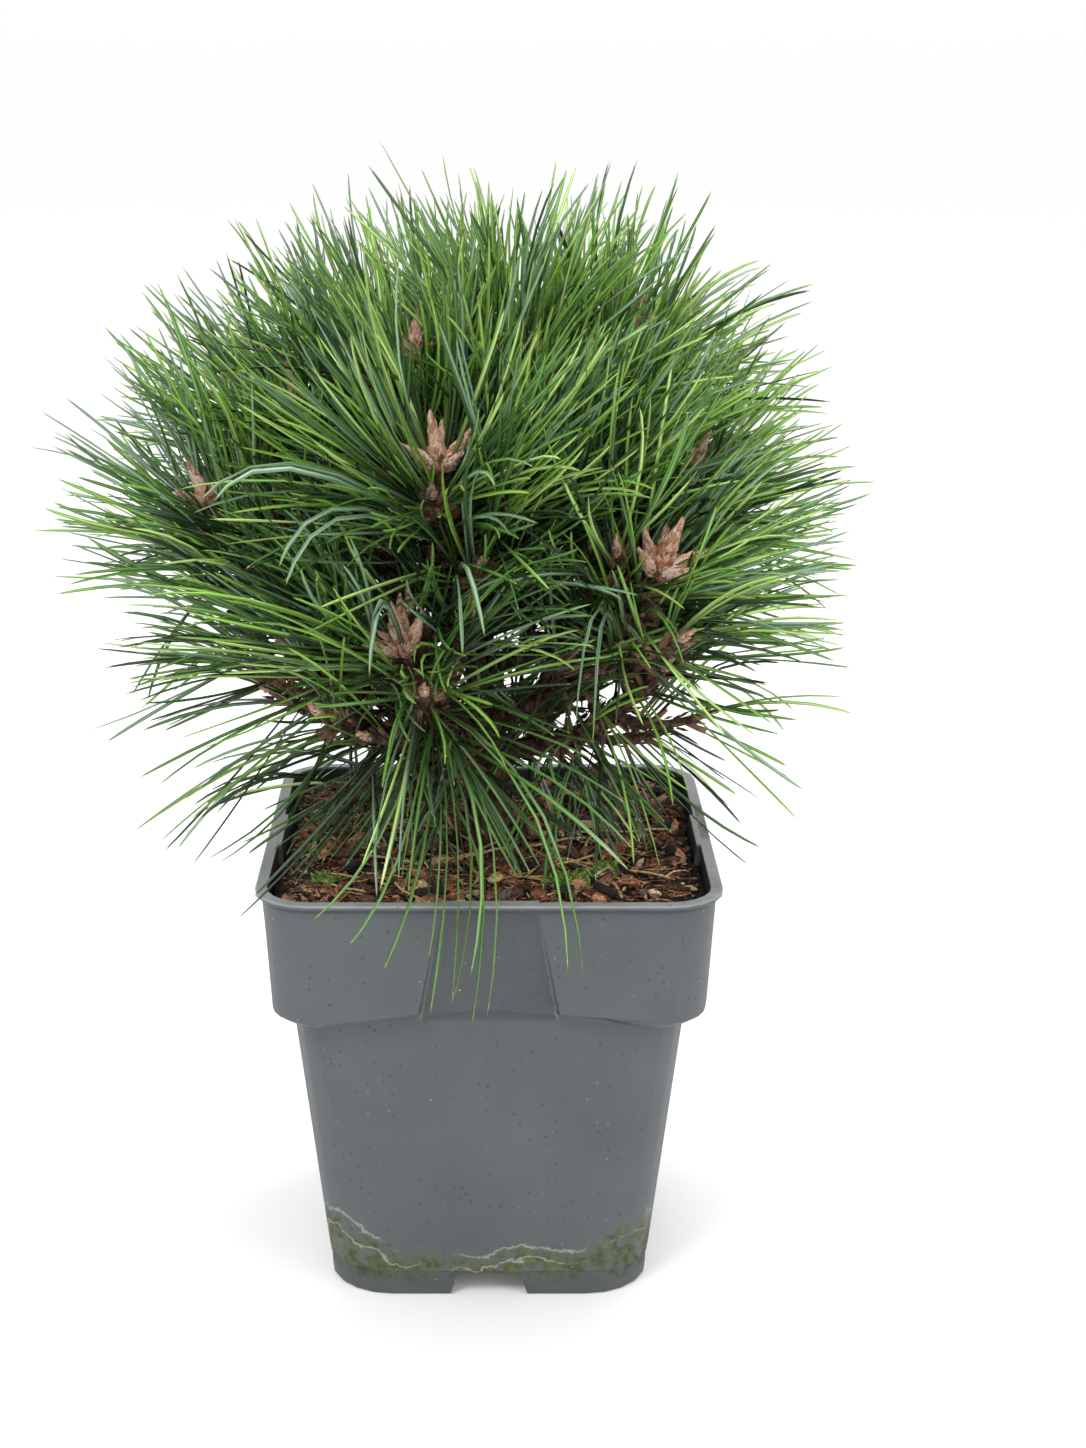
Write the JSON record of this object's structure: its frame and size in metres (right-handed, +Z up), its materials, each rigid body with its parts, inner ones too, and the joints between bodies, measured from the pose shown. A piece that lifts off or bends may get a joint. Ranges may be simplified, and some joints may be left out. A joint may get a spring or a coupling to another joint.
{
  "type": "potted dwarf mountain pine",
  "caption": "Young dwarf mountain pine with long paired needles and winter buds, in a square grey nursery pot filled with bark soil.",
  "frame": {"origin": "on the ground under the pot, below the middle of the whole plant's outline seen from above", "axes": "+Z up, the pot's sides along X and Y, the side shown in the picture faces -Y"},
  "size_m": [0.2565, 0.2473, 0.349],
  "materials": {
    "pot": "satin moulded plastic, weathered, algae near the foot",
    "soil": "moist bark chips and peat",
    "bark": "scaly young bark",
    "needles": "waxy green needles"
  },
  "bodies": {
    "root": {"pot": "pot", "soil": "soil", "trunk": "bark", "bough_back": "bark", "bough_back_left": "bark", "bough_back_right": "bark", "bough_front_high": "bark", "bough_front_left": "bark", "bough_front_right": "bark", "bough_inner_right": "bark", "bough_left": "bark", "bough_left_high": "bark", "bough_left_low": "bark", "bough_middle_high": "bark", "bough_right": "bark", "bough_right_high": "bark", "bough_right_low": "bark", "foliage_back": "needles", "foliage_back_left": "needles", "foliage_back_right": "needles", "foliage_front_high": "needles", "foliage_front_left": "needles", "foliage_front_right": "needles", "foliage_inner_right": "needles", "foliage_left": "needles", "foliage_left_high": "needles", "foliage_left_low": "needles", "foliage_middle_high": "needles", "foliage_right": "needles", "foliage_right_high": "needles", "foliage_right_low": "needles", "foliage_top": "needles"}
  },
  "joints": []
}
